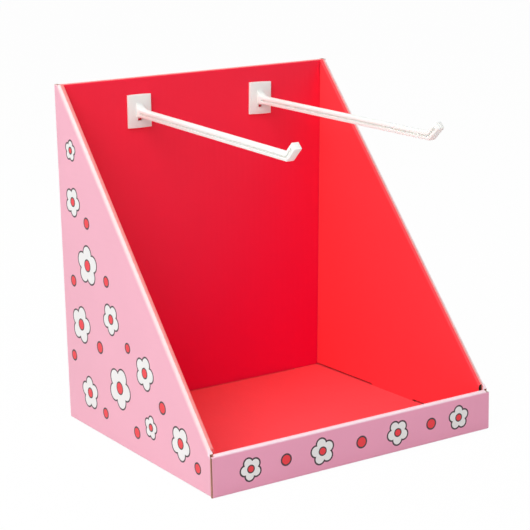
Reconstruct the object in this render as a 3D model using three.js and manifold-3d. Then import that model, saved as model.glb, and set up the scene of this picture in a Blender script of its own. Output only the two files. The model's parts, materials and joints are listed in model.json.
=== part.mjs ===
// Counter display box: one die-cut corrugated sheet, folded up from its floor,
// with rolled double walls, and two moulded hooks turned and locked in its back wall.
// Millimetres. X to the viewer's right, Y to the back, Z up, origin under the middle of the floor.

import * as THREE from 'three';
import { mergeVertices } from 'three/addons/utils/BufferGeometryUtils.js';
import Module from 'manifold-3d';

const wasm = await Module();
wasm.setup();

// Sizes of the whole display
const displayWidth = 300;
const displayDepth = 264.5;
const backHeight = 322.5;
const lipHeight = 37.5;
const sideTopFlat = 7.4;
const slantToeRise = 1;

// Board, folds and fits of the sheet
const board = 3;
const layerGap = 0.5;
const creaseRadius = 2.2;
const creaseFacets = 7;
const buttGap = 0.4;
const footGap = 1.5;
const backFootGap = 0.3;
const innerLean = 9;
const lipEndDrop = 1.5;

// Tabs of the inner panels and their slots in the floor
const tabEndAboveTable = 0.2;
const tabClearance = 0.5;
const sideTabFront = -31;
const sideTabBack = 33;
const sideSlotNotch = 4;
const backTabWidth = 210;
const backSlotEase = 1.4;
const lipTabWidth = 44;
const lipTabSpacing = 150;
const tabCornerCut = 2;

// Flaps of the back panel, tucked into the hollow side walls
const flapReach = 60;
const flapBelowSlant = 88;
const flapFootGap = 1;

// Hooks: where they sit
const hookSpacing = 136;
const hookMiddle = 1.4;
const hookBelowTop = 32;
const seatGap = 0.3;

// Hooks: back plate
const plateWidth = 25;
const plateHeight = 32;
const plateThickness = 2.5;
const plateBulge = 0.3;
const plateFacets = 8;
const plateEdgeRound = 0.5;
const moldHoleWidth = 4.6;
const moldHoleHeight = 3;
const moldHoleDrop = 7.6;

// Hooks: arm and upturned tip
const armLength = 250;
const armWidth = 7.6;
const armHeight = 7;
const armBelowPlateCentre = 1.5;
const armEdgeRound = 0.6;
const armGrooveHeight = 1.8;
const armGrooveDepth = 1.7;
const tipLength = 14;
const tipAngle = 46;
const tipEndInset = 2.5;
const gussetLength = 11;
const gussetHeight = 6;
const underGusset = 1.8;
const gussetFacets = 7;

// Hooks: neck and lock bar behind the back wall
const neckDiameter = 4.8;
const neckClearance = 0.4;
const neckFacets = 20;
const lockBarLength = 20;
const lockBarWidth = 5;
const lockBarThickness = 2.4;
const hookSlotLength = 22;

// Each hook sits a little turned in its slot, and its arm stands a little off square
const hooks = [
  { name: 'hook_left', side: -1, turn: 0.5, swing: 0.4, droop: 2 },
  { name: 'hook_right', side: 1, turn: 2, swing: 3.4, droop: 1.5 },
];

// Worked out from the sizes above
const halfWidth = displayWidth / 2;
const halfDepth = displayDepth / 2;
const rollWidth = 2 * board + layerGap;
const layerMiddle = board + layerGap / 2;
const overlap = 0.05;
const beyond = 10;
const bendLeg = 3 * board;
const plateCentreHeight = backHeight - hookBelowTop;

// Slanted top edge of the side walls, in the YZ plane
const slantHeel = new THREE.Vector2(halfDepth - sideTopFlat, backHeight);
const slantToe = new THREE.Vector2(-halfDepth + board + buttGap, lipHeight + slantToeRise);
const slantRun = slantHeel.clone().sub(slantToe).normalize();
const slantUp = new THREE.Vector2(-slantRun.y, slantRun.x);
const backInnerFace = halfDepth - rollWidth;
const lipInnerFace = -halfDepth + rollWidth;
const footCorner = new THREE.Vector2(backInnerFace - buttGap, board);
const footDrop = belowSlant(footCorner.x, footCorner.y);
const leanRate = innerLean / (footDrop - creaseRadius);

function belowSlant(y, z) {
  return -(new THREE.Vector2(y, z).sub(slantHeel).dot(slantUp));
}

function slantHeight(y, drop) {
  return slantHeel.y + ((y - slantHeel.x) * slantRun.y - drop) / slantRun.x;
}

// Outlines are lists of [a, b] pairs
function arc(centreA, centreB, radius, from, to, facets = creaseFacets) {
  return Array.from({ length: facets + 1 }, (_, i) => {
    const angle = from + ((to - from) * i) / facets;
    return [centreA + radius * Math.cos(angle), centreB + radius * Math.sin(angle)];
  });
}

function rectangle(a0, a1, b0, b1) {
  return [[a0, b0], [a1, b0], [a1, b1], [a0, b1]];
}

function shapeOf(points) {
  return new THREE.Shape(points.map(([a, b]) => new THREE.Vector2(a, b)));
}

// A closed three.js geometry as a solid that can be joined and cut
function solidOf(geometry) {
  const bare = geometry.clone();
  bare.deleteAttribute('normal');
  bare.deleteAttribute('uv');
  const merged = mergeVertices(bare, 1e-4);
  return new wasm.Manifold(new wasm.Mesh({
    numProp: 3,
    vertProperties: new Float32Array(merged.attributes.position.array),
    triVerts: new Uint32Array(merged.index.array),
  }));
}

function geometryOf(solid) {
  const mesh = solid.getMesh();
  const geometry = new THREE.BufferGeometry();
  geometry.setAttribute('position', new THREE.BufferAttribute(mesh.vertProperties, 3));
  geometry.setIndex(new THREE.BufferAttribute(mesh.triVerts, 1));
  geometry.computeVertexNormals();
  return geometry;
}

function join(solids) {
  return solids.reduce((whole, next) => whole.add(next));
}

function cut(solid, cutters) {
  return cutters.reduce((rest, next) => rest.subtract(next), solid);
}

// An outline drawn on two axes and pushed along the third, from one place to another
function prism(points, axisA, axisB, origin, length, options = {}) {
  const geometry = new THREE.ExtrudeGeometry(shapeOf(points), {
    depth: length,
    bevelEnabled: false,
    steps: 1,
    ...options,
  });
  const axisC = axisA.clone().cross(axisB);
  geometry.applyMatrix4(new THREE.Matrix4().makeBasis(axisA, axisB, axisC).setPosition(origin));
  return geometry;
}

const right = new THREE.Vector3(1, 0, 0);
const back = new THREE.Vector3(0, 1, 0);
const front = new THREE.Vector3(0, -1, 0);
const up = new THREE.Vector3(0, 0, 1);

// Outline in Y and Z, from x0 to x1
function acrossX(points, x0, x1) {
  return solidOf(prism(points, back, up, new THREE.Vector3(x0, 0, 0), x1 - x0));
}

// Outline in X and Z, from y0 to y1
function alongY(points, y0, y1) {
  return solidOf(prism(points, right, up, new THREE.Vector3(0, y1, 0), y1 - y0));
}

// Outline in X and Y, from z0 to z1
function upZ(points, z0, z1) {
  return solidOf(prism(points, right, back, new THREE.Vector3(0, 0, z0), z1 - z0));
}

// Section of a rolled wall seen from its end: up the outside, over the top and down the inside.
// a runs inwards from the outside face and b up from the top of the roll.
function rolledSection(outerLeg, innerLeg, lean = 0) {
  const foot = rollWidth + lean * (innerLeg - creaseRadius);
  const shoulder = rollWidth - board;
  return [
    [0, -outerLeg],
    ...arc(creaseRadius, -creaseRadius, creaseRadius, Math.PI, Math.PI / 2),
    ...arc(rollWidth - creaseRadius, -creaseRadius, creaseRadius, Math.PI / 2, 0),
    [foot, -innerLeg],
    [foot - board, -innerLeg],
    [shoulder + lean * (board - creaseRadius), -board],
    [board, -board],
    [board, -outerLeg],
  ];
}

// Section of a square fold between two panels: the outside corner is at 0, 0
function bendSection(legA, legB) {
  return [
    [0, legB],
    ...arc(creaseRadius, creaseRadius, creaseRadius, Math.PI, 1.5 * Math.PI),
    [legA, 0],
    [legA, board],
    [board, board],
    [board, legB],
  ];
}

// A tab pointing down, with its corners cut off, between two places along a panel's foot
function tabOutline(from, to, top) {
  return [
    [from, top],
    [from, tabEndAboveTable + tabCornerCut],
    [from + tabCornerCut, tabEndAboveTable],
    [to - tabCornerCut, tabEndAboveTable],
    [to, tabEndAboveTable + tabCornerCut],
    [to, top],
  ];
}

const panelFoot = board + footGap;

// Along the slant, a section in X and across the edge is pushed from behind the heel past the toe
function alongSlant(section, side) {
  const axisUp = new THREE.Vector3(0, slantUp.x, slantUp.y);
  const runLength = displayDepth + backHeight;
  const start = new THREE.Vector3(side * halfWidth, slantHeel.x, slantHeel.y);
  start.add(new THREE.Vector3(0, slantRun.x, slantRun.y).multiplyScalar(sideTopFlat + beyond));
  const points = section.map(([a, b]) => [-side * a, b]);
  return solidOf(prism(points, right, axisUp, start, runLength));
}

function sideWall(side) {
  const reach = footDrop + 3 * beyond;
  const roll = alongSlant(rolledSection(reach, reach, leanRate), side);
  const outside = side * (halfWidth + beyond);
  const split = side * (halfWidth - layerMiddle);
  const inside = side * (halfWidth - rollWidth - innerLean - beyond);

  const rollFront = lipInnerFace + buttGap;
  const rollBack = backInnerFace - buttGap;
  const outerOutline = rectangle(rollFront, rollBack, creaseRadius, backHeight);
  const innerOutline = rectangle(rollFront, rollBack, panelFoot, backHeight);
  const tab = tabOutline(sideTabFront, sideTabBack, panelFoot + overlap);
  const spanX = (points, x0, x1) => acrossX(points, Math.min(x0, x1), Math.max(x0, x1));
  const mask = join([
    spanX(outerOutline, outside, split),
    spanX(innerOutline, split - side * overlap, inside),
    spanX(innerOutline, split + side * overlap, inside),
    spanX(tab, split, inside),
  ]);

  // Ahead of the roll and behind it, the outer panel's edge is cut bare
  const nose = [
    [slantToe.x, creaseRadius],
    [rollFront, creaseRadius],
    [rollFront, slantHeight(rollFront, 0)],
    [slantToe.x, slantToe.y],
  ];
  const heel = rectangle(rollBack, halfDepth, creaseRadius, backHeight);
  const panelInside = side * (halfWidth - board);
  return join([
    roll.intersect(mask),
    spanX(nose, side * halfWidth, panelInside),
    spanX(heel, side * halfWidth, panelInside),
  ]);
}

function sideBend(side) {
  const section = bendSection(bendLeg, bendLeg).map(([a, b]) => [side * (halfWidth - a), b]);
  return alongY(section, slantToe.x, halfDepth);
}

// The floor slot follows the leaning tab, and is longer than it at the front
function sideSlot(side) {
  const farFloor = footDrop + 3 * beyond;
  const leanAt = (drop) => rollWidth + leanRate * (drop - creaseRadius);
  const section = [
    [leanAt(0) + tabClearance, 0],
    [leanAt(farFloor) + tabClearance, -farFloor],
    [leanAt(farFloor) - board - tabClearance, -farFloor],
    [leanAt(0) - board - tabClearance, 0],
  ];
  const front = sideTabFront - sideSlotNotch;
  const length = rectangle(front, sideTabBack + tabClearance, -beyond, board + overlap);
  const window = acrossX(length, -halfWidth, halfWidth);
  return alongSlant(section, side).intersect(window);
}

function lipWall() {
  const leg = lipHeight - creaseRadius;
  const section = rolledSection(leg, lipHeight, 0)
    .map(([a, b]) => [-halfDepth + a, lipHeight + b]);
  const roll = acrossX(section, -halfWidth, halfWidth);
  const split = -halfDepth + layerMiddle;
  const innerHalf = halfWidth - board - buttGap;
  const tabs = [-1, 1].map((side) => {
    const centre = (side * lipTabSpacing) / 2;
    return alongY(
      tabOutline(centre - lipTabWidth / 2, centre + lipTabWidth / 2, panelFoot + overlap),
      split,
      lipInnerFace + beyond,
    );
  });
  const foldHalf = halfWidth - board;
  const endHeight = lipHeight - lipEndDrop;
  const outerOutline = [
    [-halfWidth - 1, 0],
    [halfWidth + 1, 0],
    [halfWidth + 1, endHeight],
    [foldHalf, endHeight],
    [foldHalf, lipHeight + 1],
    [-foldHalf, lipHeight + 1],
    [-foldHalf, endHeight],
    [-halfWidth - 1, endHeight],
  ];
  const mask = join([
    alongY(outerOutline, -halfDepth - 1, -halfDepth + board),
    alongY(rectangle(-innerHalf, innerHalf, panelFoot, lipHeight + 1), -halfDepth + board - overlap, lipInnerFace + 1),
    ...tabs,
  ]);
  return roll.intersect(mask);
}

function lipBend() {
  const section = bendSection(board + buttGap, bendLeg).map(([a, b]) => [-halfDepth + a, b]);
  return acrossX(section, -halfWidth, halfWidth);
}

function lipSlot(side) {
  const centre = (side * lipTabSpacing) / 2;
  const half = lipTabWidth / 2 + tabClearance;
  const outline = rectangle(
    centre - half,
    centre + half,
    lipInnerFace - board - tabClearance + overlap,
    lipInnerFace + tabClearance,
  );
  return upZ(outline, -beyond, board + overlap);
}

const backHalf = halfWidth - board - buttGap;

function backWall() {
  const section = rolledSection(backHeight - creaseRadius, backHeight, 0)
    .map(([a, b]) => [halfDepth - a, backHeight + b]);
  const roll = acrossX(section, -backHalf, backHalf);
  const flapTop = slantHeight(halfDepth, flapBelowSlant);
  const innerHalf = backHalf - board - buttGap;
  const creased = backHalf - creaseRadius;
  const outerOutline = [
    [-creased, 0],
    [creased, 0],
    [creased, flapTop],
    [backHalf, flapTop],
    [backHalf, backHeight + 1],
    [-backHalf, backHeight + 1],
    [-backHalf, flapTop],
    [-creased, flapTop],
  ];
  const innerTop = backHeight - board;
  const innerFoot = board + backFootGap;
  const innerOutline = [
    [-innerHalf, innerFoot],
    [innerHalf, innerFoot],
    [innerHalf, innerTop],
    [backHalf, innerTop],
    [backHalf, backHeight + 1],
    [-backHalf, backHeight + 1],
    [-backHalf, innerTop],
    [-innerHalf, innerTop],
  ];
  const split = halfDepth - layerMiddle;
  const tab = tabOutline(-backTabWidth / 2, backTabWidth / 2, innerFoot + overlap);
  const mask = join([
    alongY(outerOutline, split - overlap, halfDepth + 1),
    alongY(innerOutline, backInnerFace - 1, split),
    alongY(tab, backInnerFace - 1, split),
  ]);
  return roll.intersect(mask);
}

function backBend() {
  const section = bendSection(bendLeg, bendLeg).map(([a, b]) => [halfDepth - a, b]);
  return acrossX(section, -backHalf + creaseRadius, backHalf - creaseRadius);
}

function backSlot() {
  const half = backTabWidth / 2 + tabClearance;
  const outline = rectangle(
    -half,
    half,
    backInnerFace - backSlotEase,
    backInnerFace + board + tabClearance - overlap,
  );
  return upZ(outline, -beyond, board + overlap);
}

// A flap folds forward from the back panel and lies against the side's outer panel
function backFlap(side) {
  const section = bendSection(bendLeg, flapReach)
    .map(([a, b]) => [side * (backHalf - a), halfDepth - b]);
  const foot = board + flapFootGap;
  const standing = upZ(section, foot, backHeight);
  const toe = halfDepth - flapReach;
  const outline = [
    [toe - beyond, foot],
    [halfDepth + beyond, foot],
    [halfDepth + beyond, slantHeight(halfDepth, flapBelowSlant)],
    [halfDepth, slantHeight(halfDepth, flapBelowSlant)],
    [toe - beyond, slantHeight(toe - beyond, flapBelowSlant)],
  ];
  return standing.intersect(acrossX(outline, -halfWidth, halfWidth));
}

function hookCentre(hook) {
  return new THREE.Vector3(
    hookMiddle + (hook.side * hookSpacing) / 2,
    backInnerFace - seatGap - plateThickness,
    plateCentreHeight,
  );
}

// The neck goes in through a level slot and is then turned upright behind it
function hookSlot(hook) {
  const centre = hookCentre(hook);
  const halfHeight = neckDiameter / 2 + neckClearance;
  const straight = hookSlotLength / 2 - halfHeight;
  const outline = [
    ...arc(centre.x + straight, centre.z, halfHeight, -Math.PI / 2, Math.PI / 2),
    ...arc(centre.x - straight, centre.z, halfHeight, Math.PI / 2, 1.5 * Math.PI),
  ];
  return alongY(outline, backInnerFace - 1, halfDepth + 1);
}

function floorPanel() {
  const half = halfWidth - creaseRadius;
  const outline = rectangle(-half, half, -halfDepth + board, halfDepth - creaseRadius);
  return upZ(outline, 0, board);
}

function foldedSheet() {
  const sides = [-1, 1];
  const bottom = join([floorPanel(), lipBend(), backBend(), ...sides.map(sideBend)]);
  const slotted = cut(bottom, [...sides.map(sideSlot), ...sides.map(lipSlot), backSlot()]);
  const holed = cut(backWall(), hooks.map(hookSlot));
  return join([slotted, lipWall(), holed, ...sides.map(sideWall), ...sides.map(backFlap)]);
}

// Hook outlines: the plate's front face is at 0, the arm runs forward along a
function armOutline() {
  const half = armHeight / 2;
  const angle = THREE.MathUtils.degToRad(tipAngle);
  const along = [Math.cos(angle), Math.sin(angle)];
  const mitre = armHeight * Math.tan(angle / 2);
  const innerEnd = [armLength + tipLength * along[0], half + tipLength * along[1]];
  const outerEnd = [innerEnd[0] + armHeight * along[1], innerEnd[1] - armHeight * along[0]];
  const root = -plateThickness / 2;
  return [
    [root, -half - underGusset],
    [0, -half - underGusset],
    [underGusset, -half],
    [armLength + mitre - armEdgeRound, -half],
    [armLength + mitre + armEdgeRound * along[0], -half + armEdgeRound * along[1]],
    outerEnd,
    innerEnd,
    [armLength, half],
    ...arc(gussetLength, half + gussetHeight, 1, -Math.PI / 2, -Math.PI, gussetFacets)
      .map(([a, b]) => [
        gussetLength + (a - gussetLength) * gussetLength,
        half + gussetHeight + (b - half - gussetHeight) * gussetHeight,
      ]),
    [root, half + gussetHeight],
  ];
}

// A groove follows the middle of the arm and of the tip, on both cheeks
function grooveOutline() {
  const angle = THREE.MathUtils.degToRad(tipAngle);
  const along = [Math.cos(angle), Math.sin(angle)];
  const half = armGrooveHeight / 2;
  const bend = armLength + (armHeight / 2) * Math.tan(angle / 2);
  const shift = half * Math.tan(angle / 2);
  const reach = tipLength - tipEndInset;
  return [
    [gussetLength / 2, -half],
    [bend + shift, -half],
    [bend + shift + reach * along[0], -half + reach * along[1]],
    [bend - shift + reach * along[0], half + reach * along[1]],
    [bend - shift, half],
    [gussetLength / 2, half],
  ];
}

function armSolid() {
  const bevel = {
    bevelEnabled: true,
    bevelSize: armEdgeRound,
    bevelThickness: armEdgeRound,
    bevelOffset: -armEdgeRound,
    bevelSegments: 2,
  };
  const thickness = armWidth - 2 * armEdgeRound;
  const start = new THREE.Vector3(thickness / 2, 0, 0);
  const body = solidOf(prism(armOutline(), front, up, start, thickness, bevel));
  const grooves = [-1, 1].map((side) => {
    const outer = side * (armWidth / 2 + 1);
    const inner = side * (armWidth / 2 - armGrooveDepth);
    const origin = new THREE.Vector3(Math.max(outer, inner), 0, 0);
    return solidOf(prism(grooveOutline(), front, up, origin, Math.abs(outer - inner)));
  });
  return cut(body, grooves);
}

function armGeometry(hook) {
  const geometry = geometryOf(armSolid());
  geometry.rotateX(THREE.MathUtils.degToRad(hook.droop));
  geometry.rotateZ(THREE.MathUtils.degToRad(hook.swing));
  geometry.translate(0, 0, -armBelowPlateCentre);
  return geometry;
}

function plateSolid() {
  const halfX = plateWidth / 2;
  const halfZ = plateHeight / 2;
  const crown = (side) => Array.from({ length: plateFacets + 1 }, (_, i) => {
    const x = side * (halfX - (plateWidth * i) / plateFacets);
    const rise = plateBulge * (1 - (x / halfX) ** 2);
    return [x, side * (halfZ - plateBulge + rise)];
  });
  const bevel = {
    bevelEnabled: true,
    bevelSize: plateEdgeRound,
    bevelThickness: plateEdgeRound,
    bevelOffset: -plateEdgeRound,
    bevelSegments: 2,
  };
  const outline = [...crown(1), ...crown(-1)];
  const thickness = plateThickness - 2 * plateEdgeRound;
  const start = new THREE.Vector3(0, plateThickness - plateEdgeRound, 0);
  const plate = solidOf(prism(outline, right, up, start, thickness, bevel));
  const hole = alongY(
    rectangle(
      -moldHoleWidth / 2,
      moldHoleWidth / 2,
      -moldHoleDrop - moldHoleHeight / 2,
      -moldHoleDrop + moldHoleHeight / 2,
    ),
    -beyond,
    beyond,
  );
  return plate.subtract(hole);
}

function lockSolid() {
  const neckStart = plateThickness / 2;
  const barStart = plateThickness + 2 * seatGap + rollWidth;
  const neck = alongY(
    arc(0, 0, neckDiameter / 2, 0, 2 * Math.PI, neckFacets).slice(0, -1),
    neckStart,
    barStart + lockBarThickness / 2,
  );
  const bar = alongY(
    [
      ...arc(0, lockBarLength / 2 - lockBarWidth / 2, lockBarWidth / 2, 0, Math.PI),
      ...arc(0, -lockBarLength / 2 + lockBarWidth / 2, lockBarWidth / 2, Math.PI, 2 * Math.PI),
    ],
    barStart,
    barStart + lockBarThickness,
  );
  return neck.add(bar);
}

function hookGeometry(hook) {
  return geometryOf(join([plateSolid(), lockSolid(), solidOf(armGeometry(hook))]));
}

// Finishes
const boardMaterial = new THREE.MeshStandardMaterial({ color: 0xe63950, roughness: 0.55, metalness: 0 });
const hookMaterial = new THREE.MeshStandardMaterial({ color: 0xf6f3ee, roughness: 0.35, metalness: 0 });

// The display
const display = new THREE.Group();

const carton = new THREE.Mesh(geometryOf(foldedSheet()), boardMaterial);
carton.name = 'display_carton';
display.add(carton);

for (const hook of hooks) {
  const mesh = new THREE.Mesh(hookGeometry(hook), hookMaterial.clone());
  mesh.name = hook.name;
  mesh.position.copy(hookCentre(hook));
  mesh.rotation.y = THREE.MathUtils.degToRad(hook.turn);
  display.add(mesh);
}

export default display;
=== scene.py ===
"""Looks for the counter display box: printed corrugated sheet, moulded hooks, and a pale studio."""

import json
import math

import bmesh
import bpy
from mathutils import Matrix, Vector

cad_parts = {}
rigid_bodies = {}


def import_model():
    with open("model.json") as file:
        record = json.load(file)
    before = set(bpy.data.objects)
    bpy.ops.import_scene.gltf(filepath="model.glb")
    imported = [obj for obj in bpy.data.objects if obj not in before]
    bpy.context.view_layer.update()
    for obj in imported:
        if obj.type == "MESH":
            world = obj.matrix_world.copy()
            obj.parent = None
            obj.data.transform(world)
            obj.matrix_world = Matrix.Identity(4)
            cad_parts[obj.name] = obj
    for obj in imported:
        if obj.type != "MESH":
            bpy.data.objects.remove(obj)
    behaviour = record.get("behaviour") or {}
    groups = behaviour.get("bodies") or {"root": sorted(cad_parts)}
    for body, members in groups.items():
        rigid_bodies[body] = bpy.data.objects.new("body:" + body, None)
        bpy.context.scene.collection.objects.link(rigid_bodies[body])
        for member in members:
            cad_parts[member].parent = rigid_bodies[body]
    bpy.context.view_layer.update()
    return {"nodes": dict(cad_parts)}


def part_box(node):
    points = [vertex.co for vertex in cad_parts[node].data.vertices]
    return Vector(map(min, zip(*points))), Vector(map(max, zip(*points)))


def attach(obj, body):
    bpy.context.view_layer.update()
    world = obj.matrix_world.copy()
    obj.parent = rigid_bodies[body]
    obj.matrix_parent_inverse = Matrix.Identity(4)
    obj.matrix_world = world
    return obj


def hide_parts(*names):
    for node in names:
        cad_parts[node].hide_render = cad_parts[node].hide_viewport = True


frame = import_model()

bl_info = {
    "name": "Counter display box",
    "version": (1, 0, 0),
    "blender": (4, 5, 0),
    "location": "View3D > Sidebar > Display",
    "description": "Builds the printed sheet, the hooks and the studio of a folded counter display",
    "category": "Object",
}

MM = 0.001
HALF_WIDTH, HALF_DEPTH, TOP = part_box("display_carton")[1]

# Where the camera stands in metres, and how it is turned in degrees
CAMERA_PLACE = (-0.81863, -1.26088, 0.51791)
CAMERA_AZIMUTH, CAMERA_ELEVATION, CAMERA_ROLL = -32.72, 13.60, -1.22

# Each lamp's name, place, aim, size and the setting that holds its power
LAMPS = [
    ("key", (-1.6, -0.9, 1.9), (0, 0, 0.12), 1.9, "key_power"),
    ("side", (-2.3, -0.25, 0.9), (0, 0, 0.15), 1.4, "side_power"),
    ("top", (-0.4, 0.45, 2.2), (0, 0, 0.1), 1.3, "rear_power"),
]
STUDIO_FLOOR_SIZE = 12
STUDIO_FLOOR_DROP = 0.2 * MM
FOOTPRINT_INSET = 4 * MM

# How far below a roll's top its painted highlight, the paled crease, begins, and where it is full
OUTER_SIDE_HIGHLIGHT = (5.5 * MM, 0.0)
INNER_SIDE_HIGHLIGHT = (1.8 * MM, 0.4 * MM)
LIP_HIGHLIGHT = (2.4 * MM, 0.5 * MM)
BACK_HIGHLIGHT = (1.2 * MM, 0.2 * MM)

# A face is square to a direction above this cosine, and close to a place within these millimetres
SQUARE = 0.97
NEAR = 0.1
HAIR = 0.05

# Bare paper, pale specks, and what the inside print is multiplied by where it is denser
BARE_PAPER = (0.55, 0.44, 0.38, 1.0)
SPECK = (0.9, 0.8, 0.78, 1.0)
DENSER = (0.95, 0.90, 0.93, 1.0)

# Corners round a dot and round one petal, then a petal's middle and the heart as shares of a flower's radius
DOT_SIDES = 28
PETAL_SIDES = 16
PETAL_REACH = 0.60
HEART_SHARE = 0.27

# Depths of the inks that lie over one another, in ink heights
LINE_RISE, PETAL_RISE, HEART_LINE_RISE, HEART_RISE = 1.6, 2.2, 2.8, 3.4


# Sizes and colours a user would change

class BoardSettings(bpy.types.PropertyGroup):
    """The corrugated sheet and its print"""

    thickness: bpy.props.FloatProperty(
        name="Board thickness", description="Thickness of the fluted board",
        default=3.0 * MM, unit="LENGTH")
    roll_width: bpy.props.FloatProperty(
        name="Rolled wall width", description="Two boards and the gap between them",
        default=6.5 * MM, unit="LENGTH")
    flute_pitch: bpy.props.FloatProperty(
        name="Flute pitch", description="Distance from one flute to the next",
        default=6.4 * MM, unit="LENGTH")
    slant_toe_height: bpy.props.FloatProperty(
        name="Slant foot height", description="Height of a side wall where it meets the lip",
        default=38.5 * MM, unit="LENGTH")
    lip_height: bpy.props.FloatProperty(
        name="Lip height", description="Height of the front lip",
        default=37.5 * MM, unit="LENGTH")
    side_change: bpy.props.FloatProperty(
        name="Side colour change", description="Where the outside print ends, in from a side's face",
        default=2.5 * MM, unit="LENGTH")
    # Where the right roll's painted highlight starts
    right_highlight_start: bpy.props.FloatProperty(
        name="Right crease", description="Where the right roll's paled strip starts, in from the side's face",
        default=4.1 * MM, unit="LENGTH")
    lip_change: bpy.props.FloatProperty(
        name="Lip colour change", description="Where the outside print ends, in from the lip's face",
        default=5.3 * MM, unit="LENGTH")
    back_change: bpy.props.FloatProperty(
        name="Back colour change", description="Where the outside print ends, in from the back's face",
        default=4.6 * MM, unit="LENGTH")
    top_flat: bpy.props.FloatProperty(
        name="Top flat", description="Level length at the back of a side wall's top",
        default=7.4 * MM, unit="LENGTH")
    outside_colour: bpy.props.FloatVectorProperty(
        name="Outside print", description="Colour of the print outside",
        subtype="COLOR", size=3, default=(0.865, 0.438, 0.545), min=0, max=1)
    # Painted shade: the lip's print is a darker, cooler copy of the outside print, for the lip's front, which
    # gets less light
    lip_shaded_print: bpy.props.FloatVectorProperty(
        name="Lip print", description="Colour of the print on the outside of the lip",
        subtype="COLOR", size=3, default=(0.865, 0.370, 0.522), min=0, max=1)
    inside_colour: bpy.props.FloatVectorProperty(
        name="Inside print", description="Colour of the print on the inner side panels",
        subtype="COLOR", size=3, default=(1.0, 0.052, 0.068), min=0, max=1)
    # Painted light: the back's print is a shaded copy of the inside print, darker still towards its foot, and
    # the floor's print is a lit copy
    back_shaded_print: bpy.props.FloatVectorProperty(
        name="Back print", description="Colour of the print on the inner back panel",
        subtype="COLOR", size=3, default=(1.0, 0.014, 0.050), min=0, max=1)
    back_foot_shade: bpy.props.FloatVectorProperty(
        name="Back print at its foot", description="Colour that the inner back panel's print deepens to",
        subtype="COLOR", size=3, default=(0.88, 0.002, 0.060), min=0, max=1)
    floor_lit_print: bpy.props.FloatVectorProperty(
        name="Floor print", description="Colour of the print on the floor panel",
        subtype="COLOR", size=3, default=(1.0, 0.082, 0.096), min=0, max=1)
    # These three are painted highlights: the print as it looks lit along the roll tops, partly the print
    # paling where it is stretched over a fold
    outside_crease_highlight: bpy.props.FloatVectorProperty(
        name="Outside crease", description="Colour of the outside print where it is stretched over a fold",
        subtype="COLOR", size=3, default=(1.0, 0.76, 0.74), min=0, max=1)
    lip_crease_highlight: bpy.props.FloatVectorProperty(
        name="Lip crease", description="Colour of the outside print where the lip's roll stretches it",
        subtype="COLOR", size=3, default=(1.0, 0.86, 0.91), min=0, max=1)
    inside_crease_highlight: bpy.props.FloatVectorProperty(
        name="Inside crease", description="Colour of the inside print where it is stretched over a fold",
        subtype="COLOR", size=3, default=(1.0, 0.36, 0.34), min=0, max=1)
    kraft_colour: bpy.props.FloatVectorProperty(
        name="Raw edge", description="Colour of the brown paper at a cut edge",
        subtype="COLOR", size=3, default=(0.62, 0.31, 0.22), min=0, max=1)


class PrintSettings(bpy.types.PropertyGroup):
    """The flowers printed on the outside"""

    ink_height: bpy.props.FloatProperty(
        name="Ink height", description="How far a printed shape stands over the board",
        default=0.05 * MM, unit="LENGTH")
    petals: bpy.props.IntProperty(
        name="Petals", description="Petals on each flower", default=5, min=5, max=8)
    outline: bpy.props.FloatProperty(
        name="Outline", description="Width of the dark line round each flower",
        default=1.5 * MM, unit="LENGTH")
    petal_colour: bpy.props.FloatVectorProperty(
        name="Petal ink", description="Colour of the petals",
        subtype="COLOR", size=3, default=(0.84, 0.84, 0.825), min=0, max=1)
    centre_colour: bpy.props.FloatVectorProperty(
        name="Centres", description="Colour of the flower centres and dots",
        subtype="COLOR", size=3, default=(0.86, 0.02, 0.035), min=0, max=1)
    line_colour: bpy.props.FloatVectorProperty(
        name="Lines", description="Colour of the outlines",
        subtype="COLOR", size=3, default=(0.035, 0.012, 0.018), min=0, max=1)


class HookSettings(bpy.types.PropertyGroup):
    """The moulded hooks"""

    edge_round: bpy.props.FloatProperty(
        name="Edge rounding", description="Rounding of the moulded edges",
        default=0.3 * MM, unit="LENGTH")
    # The plastic's faint green tint is painted light: it offsets the red light bounced onto the hooks from
    # the print
    colour: bpy.props.FloatVectorProperty(
        name="Plastic", description="Colour of the hooks",
        subtype="COLOR", size=3, default=(0.93, 0.96, 0.915), min=0, max=1)


class StudioSettings(bpy.types.PropertyGroup):
    """The floor, the lamps and the camera"""

    ambient: bpy.props.FloatProperty(
        name="Ambient", description="Strength of the even light from all round",
        default=0.38, min=0)
    key_power: bpy.props.FloatProperty(
        name="Key lamp", description="Power of the large lamp at the upper left",
        default=40.0, min=0, unit="POWER")
    side_power: bpy.props.FloatProperty(
        name="Side lamp", description="Power of the large lamp low on the left",
        default=1.5, min=0, unit="POWER")
    rear_power: bpy.props.FloatProperty(
        name="Top lamp", description="Power of the large lamp high behind the object",
        default=14.0, min=0, unit="POWER")
    lens: bpy.props.FloatProperty(
        name="Lens", description="Focal length on a 36 mm sensor",
        default=113.31, unit="CAMERA")
    floor_white: bpy.props.FloatProperty(
        name="Floor whiteness", description="Share of plain white in the floor as the camera sees it",
        subtype="FACTOR", default=0.975, min=0, max=1)


# Helpers for meshes

def clear_selection():
    if bpy.context.mode != "OBJECT":
        bpy.ops.object.mode_set(mode="OBJECT")
    bpy.ops.object.select_all(action="DESELECT")


def pick(obj):
    clear_selection()
    obj.select_set(True)
    bpy.context.view_layer.objects.active = obj


def edit(obj):
    pick(obj)
    bpy.ops.object.mode_set(mode="EDIT")
    bpy.ops.mesh.select_mode(type="VERT")


def done():
    bpy.ops.object.mode_set(mode="OBJECT")


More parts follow.
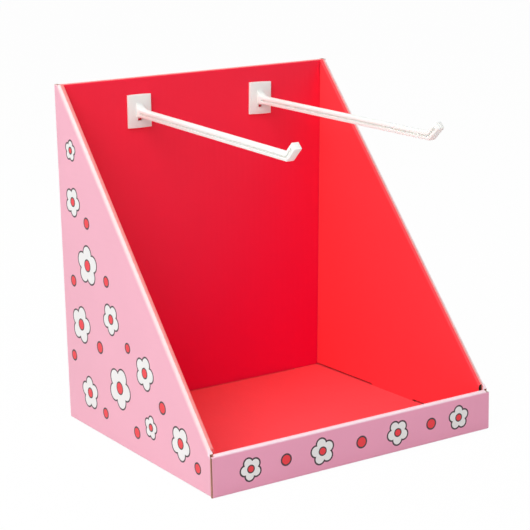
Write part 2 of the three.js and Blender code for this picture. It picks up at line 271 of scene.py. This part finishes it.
def copy_of_node(node, name):
    """A merged copy of a CAD node, with flat parts as single faces"""
    pick(frame["nodes"][node])
    bpy.ops.object.duplicate()
    piece = bpy.context.view_layer.objects.active
    piece.name = name
    piece.data.name = name
    bpy.ops.object.parent_clear(type="CLEAR_KEEP_TRANSFORM")
    bpy.ops.object.transform_apply(location=True, rotation=True, scale=True)
    piece.data.materials.clear()
    if piece.data.has_custom_normals:
        bpy.ops.mesh.customdata_custom_splitnormals_clear()
    edit(piece)
    bpy.ops.mesh.select_all(action="SELECT")
    bpy.ops.mesh.remove_doubles(threshold=0.01 * MM)
    bpy.ops.mesh.dissolve_limited(angle_limit=math.radians(0.4), use_dissolve_boundaries=False)
    done()
    return piece


def smooth(piece, degrees):
    pick(piece)
    bpy.ops.object.shade_smooth_by_angle(angle=math.radians(degrees))


# Node graphs

class Graph:
    """A material's nodes, wired by short calls"""

    def __init__(self, name):
        self.material = bpy.data.materials.new(name)
        self.material.use_nodes = True
        self.tree = self.material.node_tree
        self.tree.nodes.clear()
        self.output = self.add("ShaderNodeOutputMaterial")
        self.shader = self.add("ShaderNodeBsdfPrincipled")
        self.link(self.shader.outputs[0], self.output.inputs["Surface"])

    def add(self, kind, **values):
        node = self.tree.nodes.new(kind)
        for key, value in values.items():
            setattr(node, key, value)
        return node

    def link(self, source, target):
        self.tree.links.new(source, target)

    def feed(self, socket, value):
        if isinstance(value, bpy.types.NodeSocket):
            self.link(value, socket)
        else:
            socket.default_value = value

    def maths(self, operation, *values, clamp=False):
        node = self.add("ShaderNodeMath", operation=operation, use_clamp=clamp)
        for socket, value in zip(node.inputs, values):
            self.feed(socket, value)
        return node.outputs[0]

    def plus(self, first, second):
        return self.maths("ADD", first, second)

    def minus(self, first, second):
        return self.maths("SUBTRACT", first, second)

    def times(self, first, second, clamp=False):
        return self.maths("MULTIPLY", first, second, clamp=clamp)

    def larger(self, first, second):
        return self.maths("MAXIMUM", first, second)

    def size_of(self, value):
        return self.maths("ABSOLUTE", value)

    def step(self, value, low, high):
        """0 at low and 1 at high, with soft ends"""
        node = self.add("ShaderNodeMapRange", interpolation_type="SMOOTHSTEP")
        self.feed(node.inputs["Value"], value)
        node.inputs["From Min"].default_value = low
        node.inputs["From Max"].default_value = high
        return node.outputs["Result"]

    def spread(self, value, low, high):
        """A noise's 0 to 1 as low to high"""
        node = self.add("ShaderNodeMapRange")
        self.link(value, node.inputs["Value"])
        node.inputs["To Min"].default_value = low
        node.inputs["To Max"].default_value = high
        return node.outputs["Result"]

    def mix(self, share, first, second):
        node = self.add("ShaderNodeMix", data_type="RGBA")
        self.feed(node.inputs[0], share)
        self.feed(node.inputs[6], first)
        self.feed(node.inputs[7], second)
        return node.outputs[2]

    def noise(self, vector, scale, detail, roughness=0.5):
        node = self.add("ShaderNodeTexNoise")
        self.feed(node.inputs["Vector"], vector)
        node.inputs["Scale"].default_value = scale
        node.inputs["Detail"].default_value = detail
        node.inputs["Roughness"].default_value = roughness
        return node.outputs["Fac"]

    def place(self):
        """Object coordinates, whole and split in X, Y and Z"""
        coordinates = self.add("ShaderNodeTexCoord").outputs["Object"]
        split = self.add("ShaderNodeSeparateXYZ")
        self.link(coordinates, split.inputs[0])
        return coordinates, split.outputs[0], split.outputs[1], split.outputs[2]

    def bump(self, height, distance, strength=1.0, after=None):
        node = self.add("ShaderNodeBump")
        node.inputs["Strength"].default_value = strength
        node.inputs["Distance"].default_value = distance
        self.link(height, node.inputs["Height"])
        if after is not None:
            self.link(after, node.inputs["Normal"])
        return node.outputs["Normal"]


def rgba(colour):
    return (colour[0], colour[1], colour[2], 1.0)


def shaded(colour, share):
    """A colour lightened or darkened by a share"""
    return rgba([min(1.0, c * share) for c in colour])


def fold_highlight_mask(graph, board, x, y, z):
    """Where the painted highlight goes: 1 along the tops of the rolled walls and 0 a few millimetres below
    them
    """
    reach = board.roll_width + 0.5 * MM
    soft = 0.3 * MM
    normal = slant_normal(board)
    heel_y = HALF_DEPTH - board.top_flat
    level = normal.y * heel_y + normal.z * TOP
    across_slant = graph.plus(graph.times(y, normal.y), graph.times(z, normal.z))

    def crease(height, top, depths):
        return graph.step(height, top - depths[0], top - depths[1])

    on_left = graph.step(x, reach - HALF_WIDTH, reach - HALF_WIDTH - soft)
    right_start = HALF_WIDTH - board.right_highlight_start
    on_right = graph.step(x, right_start - 0.4 * MM, right_start)
    lip_back = -HALF_DEPTH + board.thickness
    behind_lip = graph.step(y, lip_back + 0.1 * MM, lip_back + 0.3 * MM)
    on_face = graph.step(graph.size_of(x), HALF_WIDTH - 1.0 * MM, HALF_WIDTH - 0.5 * MM)
    slanted = graph.plus(
        graph.times(on_face, crease(across_slant, level, OUTER_SIDE_HIGHLIGHT)),
        graph.times(graph.minus(1.0, on_face), crease(across_slant, level, INNER_SIDE_HIGHLIGHT)))
    slanted = graph.times(slanted, graph.times(graph.larger(on_left, on_right), behind_lip))
    at_lip = graph.step(y, -HALF_DEPTH + reach, -HALF_DEPTH + reach - soft)
    lip = graph.times(crease(z, board.lip_height, LIP_HIGHLIGHT), at_lip)
    at_back = graph.step(y, HALF_DEPTH - reach, HALF_DEPTH - reach + soft)
    back = graph.times(crease(z, TOP, BACK_HIGHLIGHT), at_back)
    return graph.larger(slanted, graph.larger(lip, back))


def printed_board(board):
    """Varnished print: one colour outside, another inside, changing along the middle of each roll"""
    graph = Graph("printed_board")
    coordinates, x, y, z = graph.place()
    past_x = graph.minus(graph.size_of(x), HALF_WIDTH - board.side_change)
    past_lip = graph.minus(graph.times(y, -1.0), HALF_DEPTH - board.lip_change)
    past_back = graph.minus(y, HALF_DEPTH - board.back_change)
    below = graph.minus(board.thickness / 2, z)
    past = graph.larger(graph.larger(past_x, graph.larger(past_lip, past_back)), below)
    wander = graph.times(graph.minus(graph.noise(coordinates, 160.0, 2.0), 0.5), 0.5 * MM)
    past = graph.plus(past, wander)
    outside = graph.step(past, -0.06 * MM, 0.06 * MM)

    # The print is a little uneven; the lip, the back and the floor get shaded and lit copies of it as painted
    # light, the back darker towards its foot
    cloudy = graph.noise(coordinates, 14.0, 4.0, 0.6)
    on_lip = graph.step(y, -HALF_DEPTH + 0.6 * MM, -HALF_DEPTH + 0.3 * MM)
    deep, light = (graph.mix(on_lip, shaded(board.outside_colour, share), shaded(board.lip_shaded_print, share))
                   for share in (0.97, 1.025))
    pink = graph.mix(cloudy, deep, light)
    back_face = HALF_DEPTH - board.roll_width
    on_back = graph.step(y, back_face - 0.5 * MM, back_face - 0.3 * MM)
    on_floor = graph.step(z, board.thickness + 0.4 * MM, board.thickness + 0.2 * MM)
    back = graph.mix(graph.step(z, 0.0, TOP), rgba(board.back_foot_shade), rgba(board.back_shaded_print))
    red = graph.mix(on_back, rgba(board.inside_colour), back)
    red = graph.mix(on_floor, red, rgba(board.floor_lit_print))
    deeper = graph.mix(1.0, red, DENSER)
    deeper.node.blend_type = "MULTIPLY"
    red = graph.mix(cloudy, deeper, red)
    # Painted highlight along the roll tops, partly the print paling where it is stretched over a fold
    highlight_share = fold_highlight_mask(graph, board, x, y, z)
    patchy = graph.plus(graph.times(graph.noise(coordinates, 240.0, 3.0), 0.5), 0.55)
    highlight_share = graph.times(highlight_share, patchy, clamp=True)
    lip_roll = -HALF_DEPTH + board.roll_width
    paled = graph.mix(graph.step(y, lip_roll + 0.5 * MM, lip_roll + 0.2 * MM),
                      rgba(board.outside_crease_highlight), rgba(board.lip_crease_highlight))
    pink = graph.mix(highlight_share, pink, paled)
    red = graph.mix(highlight_share, red, rgba(board.inside_crease_highlight))
    colour = graph.mix(outside, red, pink)

    # A thin broken line of bare paper where the two prints meet on the roll
    near_join = graph.step(graph.size_of(past), 0.42 * MM, 0.2 * MM)
    breaks = graph.step(graph.noise(coordinates, 330.0, 1.0), 0.38, 0.55)
    bare = graph.times(near_join, graph.times(breaks, 0.55))
    colour = graph.mix(bare, colour, BARE_PAPER)

    # Pale specks, and a varnish that is a little smeared
    specks = graph.step(graph.noise(coordinates, 900.0, 2.0, 0.7), 0.72, 0.80)
    colour = graph.mix(graph.times(specks, 0.10), colour, SPECK)
    graph.link(colour, graph.shader.inputs["Base Color"])
    smear = graph.noise(coordinates, 22.0, 5.0, 0.65)
    graph.link(graph.spread(smear, 0.44, 0.58), graph.shader.inputs["Roughness"])
    graph.shader.inputs["Coat Weight"].default_value = 0.05
    graph.shader.inputs["Coat Roughness"].default_value = 0.35
    graph.shader.inputs["Specular IOR Level"].default_value = 0.25

    # Flutes show through the liner: along X on floor, back and lip, along Z on the sides
    turn = 2 * math.pi / board.flute_pitch
    geometry = graph.add("ShaderNodeNewGeometry")
    facing = graph.add("ShaderNodeSeparateXYZ")
    graph.link(geometry.outputs["Normal"], facing.inputs[0])
    sideways = graph.step(graph.size_of(facing.outputs[0]), 0.6, 0.9)
    wave_x = graph.maths("SINE", graph.times(x, turn))
    wave_z = graph.maths("SINE", graph.times(z, turn))
    waves = graph.add("ShaderNodeMix", data_type="FLOAT")
    graph.link(sideways, waves.inputs[0])
    graph.link(wave_x, waves.inputs[2])
    graph.link(wave_z, waves.inputs[3])
    washboard = graph.bump(waves.outputs[0], 0.012 * MM)
    fibre = graph.bump(graph.noise(coordinates, 1400.0, 3.0, 0.6), 0.015 * MM, 0.6, washboard)
    graph.link(fibre, graph.shader.inputs["Normal"])
    return graph.material


def raw_edge(board, name, shade):
    """Cut corrugated edge: two liners with a waved medium between them, on the piece's own UV map"""
    graph = Graph(name)
    mapped = graph.add("ShaderNodeUVMap", uv_map="edge")
    split = graph.add("ShaderNodeSeparateXYZ")
    graph.link(mapped.outputs[0], split.inputs[0])
    along, across = split.outputs[0], split.outputs[1]
    coordinates = graph.place()[0]
    turn = 2 * math.pi / (board.flute_pitch / MM)
    wave_height, gap_shade = 0.36, 0.36
    ragged = graph.times(graph.minus(graph.noise(coordinates, 700.0, 2.0), 0.5), 0.16)
    wave = graph.times(graph.maths("SINE", graph.times(along, turn)), wave_height)
    centre = graph.plus(graph.plus(wave, 0.5), ragged)
    medium = graph.step(graph.size_of(graph.minus(across, centre)), 0.13, 0.07)
    from_middle = graph.size_of(graph.minus(across, 0.5))
    liner = graph.step(graph.plus(from_middle, graph.times(ragged, 0.3)), 0.37, 0.41)
    paper = graph.larger(medium, liner)
    fibres = graph.noise(coordinates, 1800.0, 4.0, 0.7)
    light = graph.mix(fibres, shaded(board.kraft_colour, 0.8 * shade),
                      shaded(board.kraft_colour, 1.25 * shade))
    # Painted shade: the hollows between the liners and the medium are drawn dark, and a shade below 1 darkens
    # the whole edge
    gap = shaded(board.kraft_colour, gap_shade * shade)
    graph.link(graph.mix(paper, gap, light), graph.shader.inputs["Base Color"])
    graph.shader.inputs["Roughness"].default_value = 0.9
    graph.shader.inputs["Specular IOR Level"].default_value = 0.2
    height = graph.plus(paper, graph.times(fibres, 0.3))
    graph.link(graph.bump(height, 0.25 * MM, 0.8), graph.shader.inputs["Normal"])
    return graph.material


def ink(name, colour):
    """Printed ink under the same varnish as the board"""
    graph = Graph(name)
    coordinates = graph.place()[0]
    cloudy = graph.noise(coordinates, 40.0, 4.0, 0.6)
    graph.link(graph.mix(cloudy, shaded(colour, 0.95), shaded(colour, 1.03)),
               graph.shader.inputs["Base Color"])
    graph.shader.inputs["Roughness"].default_value = 0.46
    graph.shader.inputs["Coat Weight"].default_value = 0.12
    graph.shader.inputs["Coat Roughness"].default_value = 0.30
    fibre = graph.bump(graph.noise(coordinates, 1400.0, 3.0, 0.6), 0.015 * MM, 0.6)
    graph.link(fibre, graph.shader.inputs["Normal"])
    return graph.material


def molded_plastic(colour):
    """White injection-moulded plastic, faintly uneven"""
    graph = Graph("molded_plastic")
    coordinates = graph.place()[0]
    flow = graph.noise(coordinates, 60.0, 3.0, 0.55)
    graph.link(graph.mix(flow, shaded(colour, 0.975), shaded(colour, 1.01)),
               graph.shader.inputs["Base Color"])
    polish = graph.noise(coordinates, 120.0, 4.0, 0.6)
    graph.link(graph.spread(polish, 0.36, 0.50), graph.shader.inputs["Roughness"])
    graph.shader.inputs["Subsurface Weight"].default_value = 0.5
    graph.shader.inputs["Subsurface Radius"].default_value = (1.0, 0.95, 0.9)
    graph.shader.inputs["Subsurface Scale"].default_value = 2.5 * MM
    return graph.material


# The folded sheet

def slant_normal(board):
    """Upward normal of a side wall's slant"""
    length = HALF_DEPTH - board.top_flat - (-HALF_DEPTH + board.thickness)
    run = Vector((0, length, TOP - board.slant_toe_height)).normalized()
    return Vector((0, -run.z, run.y))


def is_roll_end(face, board):
    """True at the front end of a side wall's roll, which stands open just behind the lip"""
    behind_roll = -HALF_DEPTH + board.roll_width + 1.0 * MM
    centre = face.calc_center_median()
    return face.normal.y < -SQUARE and behind_roll - 0.9 * MM < centre.y < behind_roll and centre.z > 4 * MM


def is_raw(face, board):
    """True where a face is a cut edge of the sheet rather than its printed surface, in millimetres"""
    centre = face.calc_center_median() / MM
    normal = face.normal
    thick, roll = board.thickness / MM, board.roll_width / MM
    half_w, half_d, top = HALF_WIDTH / MM, HALF_DEPTH / MM, TOP / MM
    side = abs(centre.x)
    on_right = centre.x > 0
    in_side_wall = side > half_w - thick - NEAR
    lip_back = -half_d + thick
    upper_lip = centre.z > 20
    clear_of_ends = 30
    faces_y, faces_up = abs(normal.y) > SQUARE, normal.z > SQUARE
    slanted = normal.dot(slant_normal(board)) > SQUARE

    # The rolls' open ends, and the side walls' edges at the back and the lip; some left ones are printed
    if is_roll_end(face, board):
        return on_right
    if faces_y and in_side_wall and centre.y > half_d - NEAR:
        return True
    if abs(normal.x) > SQUARE and side > half_w - NEAR and centre.y < lip_back + NEAR:
        return True
    if faces_up and in_side_wall and centre.y < lip_back and upper_lip:
        return on_right
    if faces_y and lip_back + NEAR < centre.y < lip_back + 0.8:
        return in_side_wall
    if slanted and in_side_wall and centre.y < -half_d + roll + 1.0:
        return on_right
    if faces_up and in_side_wall and centre.z > top - NEAR:
        return True

    # The feet of the inner panels, their tabs and the slots for them
    inside = side < half_w - thick + HAIR and abs(centre.y) < half_d - thick + HAIR
    if inside and abs(normal.z) < 0.3 and centre.z < thick:
        return True
    if inside and normal.z < -0.5 and centre.z < thick + 2:
        return centre.z > HAIR

    # The hooks' slots through the back wall
    if centre.y > half_d - roll - NEAR and abs(normal.y) < 0.3 and side < half_w - clear_of_ends:
        return thick + clear_of_ends < centre.z < top - thick - 1
    return False


def map_edge_faces(mesh, board):
    """Cut faces get millimetres along the edge in U and the board's thickness in V"""
    work = bmesh.new()
    work.from_mesh(mesh)
    layer = work.loops.layers.uv.new("edge")
    for face in work.faces:
        if face.material_index == 0:
            continue
        longest = max(face.edges, key=lambda e: e.calc_length())
        along = (longest.verts[1].co - longest.verts[0].co).normalized()
        across = face.normal.cross(along).normalized()
        values = [v.co.dot(across) for v in face.verts]
        low, high = min(values), max(values)
        span = max(high - low, 0.2 * MM)
        # Edges that run beside the flutes show them as long, drawn-out waves
        along_flutes = abs(face.normal.x) > 0.9
        stretch = 0.06 if along_flutes else 1.0
        for loop in face.loops:
            loop[layer].uv = (loop.vert.co.dot(along) / MM * stretch,
                              (loop.vert.co.dot(across) - low) / span)
    work.to_mesh(mesh)
    work.free()


def part_faces(piece, place, normal):
    """Cut the faces along a plane, so that butting panels keep faces of their own"""
    edit(piece)
    bpy.ops.mesh.select_all(action="SELECT")
    bpy.ops.mesh.bisect(plane_co=place, plane_no=normal)
    done()


class DISPLAY_OT_board(bpy.types.Operator):
    """Dress the folded sheet in its prints and raw edges"""

    bl_idname = "display.board"
    bl_label = "Folded sheet"

    def execute(self, context):
        board = context.scene.display_board
        piece = copy_of_node("display_carton", "folded_sheet")
        seam = board.thickness + 0.2 * MM
        part_faces(piece, (0, -HALF_DEPTH + seam, 0), (0, 1, 0))
        part_faces(piece, (-HALF_WIDTH + seam, 0, 0), (1, 0, 0))
        part_faces(piece, (HALF_WIDTH - seam, 0, 0), (1, 0, 0))
        # Slot 0 is the print, 1 a cut edge and 2 a cut edge deep in an open roll, darkened as painted shade
        piece.data.materials.append(printed_board(board))
        piece.data.materials.append(raw_edge(board, "raw_board_edge", 1.0))
        piece.data.materials.append(raw_edge(board, "raw_board_hollow", 0.12))
        work = bmesh.new()
        work.from_mesh(piece.data)
        work.faces.ensure_lookup_table()
        for face in work.faces:
            raw = 2 if is_roll_end(face, board) else 1
            face.material_index = raw if is_raw(face, board) else 0
        work.to_mesh(piece.data)
        work.free()
        map_edge_faces(piece.data, board)
        smooth(piece, 32)
        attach(piece, "root")
        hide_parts("display_carton")
        return {"FINISHED"}


# The flowers and dots

def thicken(piece, depth):
    edit(piece)
    bpy.ops.mesh.select_all(action="SELECT")
    bpy.ops.mesh.extrude_region_move(TRANSFORM_OT_translate={"value": (0, 0, depth)})
    bpy.ops.mesh.select_all(action="SELECT")
    bpy.ops.mesh.normals_make_consistent(inside=False)
    done()


def disc(radius, lift, depth):
    """A thin closed disc of ink"""
    clear_selection()
    bpy.ops.mesh.primitive_circle_add(
        vertices=DOT_SIDES, radius=radius, fill_type="NGON", location=(0, 0, lift))
    piece = bpy.context.view_layer.objects.active
    bpy.ops.object.transform_apply(location=True, rotation=False, scale=False)
    thicken(piece, depth)
    return piece


def bloom(radius, grow, petals, lift, depth):
    """A thin closed flower: round petals that meet in clefts, all of it wider by grow"""
    clear_selection()
    bpy.ops.mesh.primitive_circle_add(
        vertices=petals * PETAL_SIDES, radius=1.0, fill_type="NGON", location=(0, 0, lift))
    piece = bpy.context.view_layer.objects.active
    bpy.ops.object.transform_apply(location=True, rotation=False, scale=False)
    reach = PETAL_REACH * radius
    lobe = (1 - PETAL_REACH) * radius + grow
    for step in range(PETAL_SIDES):
        turn = (step - PETAL_SIDES / 2) * 2 * math.pi / (petals * PETAL_SIDES)
        size = reach * math.cos(turn) + math.sqrt(lobe ** 2 - (reach * math.sin(turn)) ** 2)
        edit(piece)
        bpy.ops.mesh.select_all(action="DESELECT")
        done()
        for vertex in piece.data.vertices:
            vertex.select = vertex.index % PETAL_SIDES == step
        edit(piece)
        bpy.ops.transform.resize(value=(size, size, 1), center_override=(0, 0, lift))
        done()
    thicken(piece, depth)
    return piece


def motif(settings, radius, flower, turn):
    """One flower, or one dot, in inks that stand a little over one another"""
    height = settings.ink_height
    sunk = -height
    line = settings.outline
    if flower:
        heart = radius * HEART_SHARE
        parts = [
            (bloom(radius, line, settings.petals, sunk, height * LINE_RISE), 0),
            (bloom(radius, 0.0, settings.petals, sunk, height * PETAL_RISE), 1),
            (disc(heart + line * 0.8, sunk, height * HEART_LINE_RISE), 0),
            (disc(heart, sunk, height * HEART_RISE), 2),
        ]
    else:
        parts = [
            (disc(radius + line, sunk, height * LINE_RISE), 0),
            (disc(radius, sunk, height * PETAL_RISE), 2),
        ]
    for part, ink_index in parts:
        for name in ("line", "petal", "centre"):
            part.data.materials.append(bpy.data.materials["ink_" + name])
        for face in part.data.polygons:
            face.material_index = ink_index
    clear_selection()
    for part, _ in parts:
        part.select_set(True)
    bpy.context.view_layer.objects.active = parts[0][0]
    bpy.ops.object.join()
    whole = bpy.context.view_layer.objects.active
    edit(whole)
    bpy.ops.mesh.select_all(action="SELECT")
    bpy.ops.transform.rotate(value=turn, orient_axis="Z", center_override=(0, 0, 0))
    done()
    return whole


def print_panel(name, settings, motifs, to_panel):
    """Motifs are (across, up, radius, flower, turn) in mm on the panel"""
    placed = []
    for across, high, radius, flower, turn in motifs:
        piece = motif(settings, radius * MM, flower, turn)
        piece.data.transform(to_panel @ Matrix.Translation((across * MM, high * MM, 0)))
        placed.append(piece)
    clear_selection()
    for piece in placed:
        piece.select_set(True)
    bpy.context.view_layer.objects.active = placed[0]
    bpy.ops.object.join()
    whole = bpy.context.view_layer.objects.active
    whole.name = name
    whole.data.name = name
    edit(whole)
    bpy.ops.mesh.select_all(action="SELECT")
    bpy.ops.mesh.normals_make_consistent(inside=False)
    done()
    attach(whole, "root")


def panel_frame(across, up, origin):
    """Takes a panel's own axes, with Z outwards, to the object's"""
    across, up = Vector(across), Vector(up)
    out = across.cross(up)
    matrix = Matrix((across, up, out)).transposed().to_4x4()
    matrix.translation = Vector(origin)
    return matrix


# Across the side from the front edge backwards, up from its foot, radius, flower or dot, and turn
SIDE_MOTIFS = [
    (52, 34, 15, True, 0.1),
    (104, 34, 10, True, 0.5),
    (112, 82, 15, True, 0.3),
    (160, 56, 19, True, 0.2),
    (220, 36, 15, True, 0.7),
    (232, 100, 17, True, 0.4),
    (172, 118, 14, True, 0.0),
    (214, 160, 18, True, 0.6),
    (238, 216, 13, True, 0.2),
    (238, 264, 9, True, 0.5),
    (24, 20, 4.0, False, 0),
    (82, 58, 4.6, False, 0),
    (130, 22, 4.4, False, 0),
    (190, 24, 4.0, False, 0),
    (196, 86, 4.6, False, 0),
    (142, 98, 3.6, False, 0),
    (178, 152, 4.0, False, 0),
    (244, 140, 4.2, False, 0),
    (212, 200, 4.2, False, 0),
    (250, 66, 4.0, False, 0),
]

# Across the lip from its middle to the right, and the rest as above
LIP_MOTIFS = [
    (-112, 18.5, 10, True, 0.2),
    (-76, 19, 4.2, False, 0),
    (-38, 18.5, 11.5, True, 0.45),
    (4, 18, 4.4, False, 0),
    (44, 18.5, 11, True, 0.1),
    (82, 19, 4.2, False, 0),
    (114, 18.5, 10.5, True, 0.6),
]


class DISPLAY_OT_prints(bpy.types.Operator):
    """Print flowers and dots on the sides and the lip"""

    bl_idname = "display.prints"
    bl_label = "Printed flowers"

    def execute(self, context):
        settings = context.scene.display_print
        ink("ink_line", settings.line_colour)
        ink("ink_petal", settings.petal_colour)
        ink("ink_centre", settings.centre_colour)
        left = panel_frame((0, -1, 0), (0, 0, 1), (-HALF_WIDTH, HALF_DEPTH, 0))
        right = panel_frame((0, 1, 0), (0, 0, 1), (HALF_WIDTH, -HALF_DEPTH, 0))
        lip = panel_frame((1, 0, 0), (0, 0, 1), (0, -HALF_DEPTH, 0))
        full = 2 * HALF_DEPTH / MM
        mirrored = [(full - across, high, radius, flower, -turn)
                    for across, high, radius, flower, turn in SIDE_MOTIFS]
        print_panel("side_print_left", settings, mirrored, left)
        print_panel("side_print_right", settings, SIDE_MOTIFS, right)
        print_panel("lip_print", settings, LIP_MOTIFS, lip)
        return {"FINISHED"}


# The hooks

class DISPLAY_OT_hooks(bpy.types.Operator):
    """Round the moulded edges of both hooks and give them their plastic"""

    bl_idname = "display.hooks"
    bl_label = "Moulded hooks"

    def execute(self, context):
        settings = context.scene.display_hook
        plastic = molded_plastic(settings.colour)
        for node in ("hook_left", "hook_right"):
            piece = copy_of_node(node, node + "_molded")
            smooth(piece, 40)
            rounding = piece.modifiers.new("edge rounding", "BEVEL")
            rounding.width = settings.edge_round
            rounding.segments = 2
            rounding.limit_method = "ANGLE"
            rounding.angle_limit = math.radians(40)
            rounding.use_clamp_overlap = True
            rounding.harden_normals = True
            pick(piece)
            bpy.ops.object.modifier_apply(modifier=rounding.name)
            piece.data.materials.append(plastic)
            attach(piece, "root")
            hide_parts(node)
        return {"FINISHED"}


# The studio

def floor_material(white):
    """Pale floor: nearly plain white to the camera, with the object's soft shadow left on it"""
    graph = Graph("pale_floor")
    graph.shader.inputs["Base Color"].default_value = (0.86, 0.86, 0.86, 1)
    graph.shader.inputs["Roughness"].default_value = 0.9
    plain = graph.add("ShaderNodeEmission")
    plain.inputs["Strength"].default_value = 1.0
    path = graph.add("ShaderNodeLightPath")
    seen = graph.larger(path.outputs["Is Camera Ray"],
                        graph.larger(path.outputs["Is Glossy Ray"], path.outputs["Is Transmission Ray"]))
    x, y = graph.place()[1:3]

    # Under the carton it stays plain floor, so that no white shines up through the slots
    beside = graph.larger(graph.maths("GREATER_THAN", graph.size_of(x), HALF_WIDTH - FOOTPRINT_INSET),
                          graph.maths("GREATER_THAN", graph.size_of(y), HALF_DEPTH - FOOTPRINT_INSET))
    share = graph.add("ShaderNodeMixShader")
    graph.link(graph.times(graph.times(seen, white), beside), share.inputs[0])
    graph.link(graph.shader.outputs[0], share.inputs[1])
    graph.link(plain.outputs[0], share.inputs[2])
    graph.link(share.outputs[0], graph.output.inputs["Surface"])
    return graph.material


def white_world(ambient):
    """An even pale light, seen by the camera and in reflections as plain white"""
    world = bpy.data.worlds.new("studio")
    bpy.context.scene.world = world
    world.use_nodes = True
    tree = world.node_tree
    tree.nodes.clear()
    path = tree.nodes.new("ShaderNodeLightPath")
    seen = path.outputs["Is Camera Ray"]
    for ray in ("Is Transmission Ray", "Is Glossy Ray"):
        either = tree.nodes.new("ShaderNodeMath")
        either.operation = "MAXIMUM"
        tree.links.new(seen, either.inputs[0])
        tree.links.new(path.outputs[ray], either.inputs[1])
        seen = either.outputs[0]
    share = tree.nodes.new("ShaderNodeMixShader")
    tree.links.new(seen, share.inputs[0])
    for socket, strength in zip(share.inputs[1:], (ambient, 1.0)):
        background = tree.nodes.new("ShaderNodeBackground")
        background.inputs["Color"].default_value = (1, 1, 1, 1)
        background.inputs["Strength"].default_value = strength
        tree.links.new(background.outputs[0], socket)
    output = tree.nodes.new("ShaderNodeOutputWorld")
    tree.links.new(share.outputs[0], output.inputs["Surface"])


def soft_lamp(name, place, aim, size, power):
    data = bpy.data.lights.new(name, "AREA")
    data.shape = "DISK"
    data.size = size
    data.energy = power
    lamp = bpy.data.objects.new(name, data)
    bpy.context.collection.objects.link(lamp)
    lamp.location = place
    lamp.rotation_euler = (Vector(aim) - Vector(place)).to_track_quat("-Z", "Y").to_euler()


class DISPLAY_OT_studio(bpy.types.Operator):
    """Set the floor, the lamps and the camera"""

    bl_idname = "display.studio"
    bl_label = "Pale studio"

    def execute(self, context):
        studio = context.scene.display_studio
        clear_selection()
        bpy.ops.mesh.primitive_plane_add(size=STUDIO_FLOOR_SIZE, location=(0, 0, -STUDIO_FLOOR_DROP))
        floor = bpy.context.view_layer.objects.active
        floor.name = "studio_floor"
        floor.data.materials.append(floor_material(studio.floor_white))
        white_world(studio.ambient)
        for name, place, aim, size, power in LAMPS:
            soft_lamp(name, place, aim, size, getattr(studio, power))

        azimuth, elevation, roll = (math.radians(a) for a in (CAMERA_AZIMUTH, CAMERA_ELEVATION, CAMERA_ROLL))
        back = Vector((math.sin(azimuth) * math.cos(elevation),
                       -math.cos(azimuth) * math.cos(elevation), math.sin(elevation)))
        level = (-back).cross(Vector((0, 0, 1))).normalized()
        upright = level.cross(-back)
        across = math.cos(roll) * level + math.sin(roll) * upright
        above = -math.sin(roll) * level + math.cos(roll) * upright
        data = bpy.data.cameras.new("photo_view")
        data.sensor_width = 36
        data.lens = studio.lens
        data.clip_end = 50
        camera = bpy.data.objects.new("photo_view", data)
        context.collection.objects.link(camera)
        turn = Matrix((across, above, back)).transposed().to_4x4()
        camera.matrix_world = Matrix.Translation(CAMERA_PLACE) @ turn
        context.scene.camera = camera
        context.scene.view_settings.view_transform = "Standard"
        return {"FINISHED"}


class DISPLAY_PT_panel(bpy.types.Panel):
    """Lists the pieces of the display"""

    bl_idname = "DISPLAY_PT_panel"
    bl_label = "Counter display box"
    bl_space_type = "VIEW_3D"
    bl_region_type = "UI"
    bl_category = "Display"

    def draw(self, context):
        layout = self.layout
        for operator, group in PIECES:
            layout.operator(operator)
            settings = getattr(context.scene, group)
            for key in settings.bl_rna.properties.keys():
                if key not in ("rna_type", "name"):
                    layout.prop(settings, key)


PIECES = [
    ("display.board", "display_board"),
    ("display.prints", "display_print"),
    ("display.hooks", "display_hook"),
    ("display.studio", "display_studio"),
]

GROUPS = [
    (BoardSettings, "display_board"),
    (PrintSettings, "display_print"),
    (HookSettings, "display_hook"),
    (StudioSettings, "display_studio"),
]

CLASSES = [DISPLAY_OT_board, DISPLAY_OT_prints, DISPLAY_OT_hooks, DISPLAY_OT_studio, DISPLAY_PT_panel]


def register():
    for group, name in GROUPS:
        bpy.utils.register_class(group)
        setattr(bpy.types.Scene, name, bpy.props.PointerProperty(type=group))
    for item in CLASSES:
        bpy.utils.register_class(item)


def unregister():
    for item in reversed(CLASSES):
        bpy.utils.unregister_class(item)
    for group, name in reversed(GROUPS):
        delattr(bpy.types.Scene, name)
        bpy.utils.unregister_class(group)


def main():
    register()
    bpy.ops.display.studio()
    bpy.ops.display.board()
    bpy.ops.display.prints()
    bpy.ops.display.hooks()


if __name__ == "__main__":
    main()
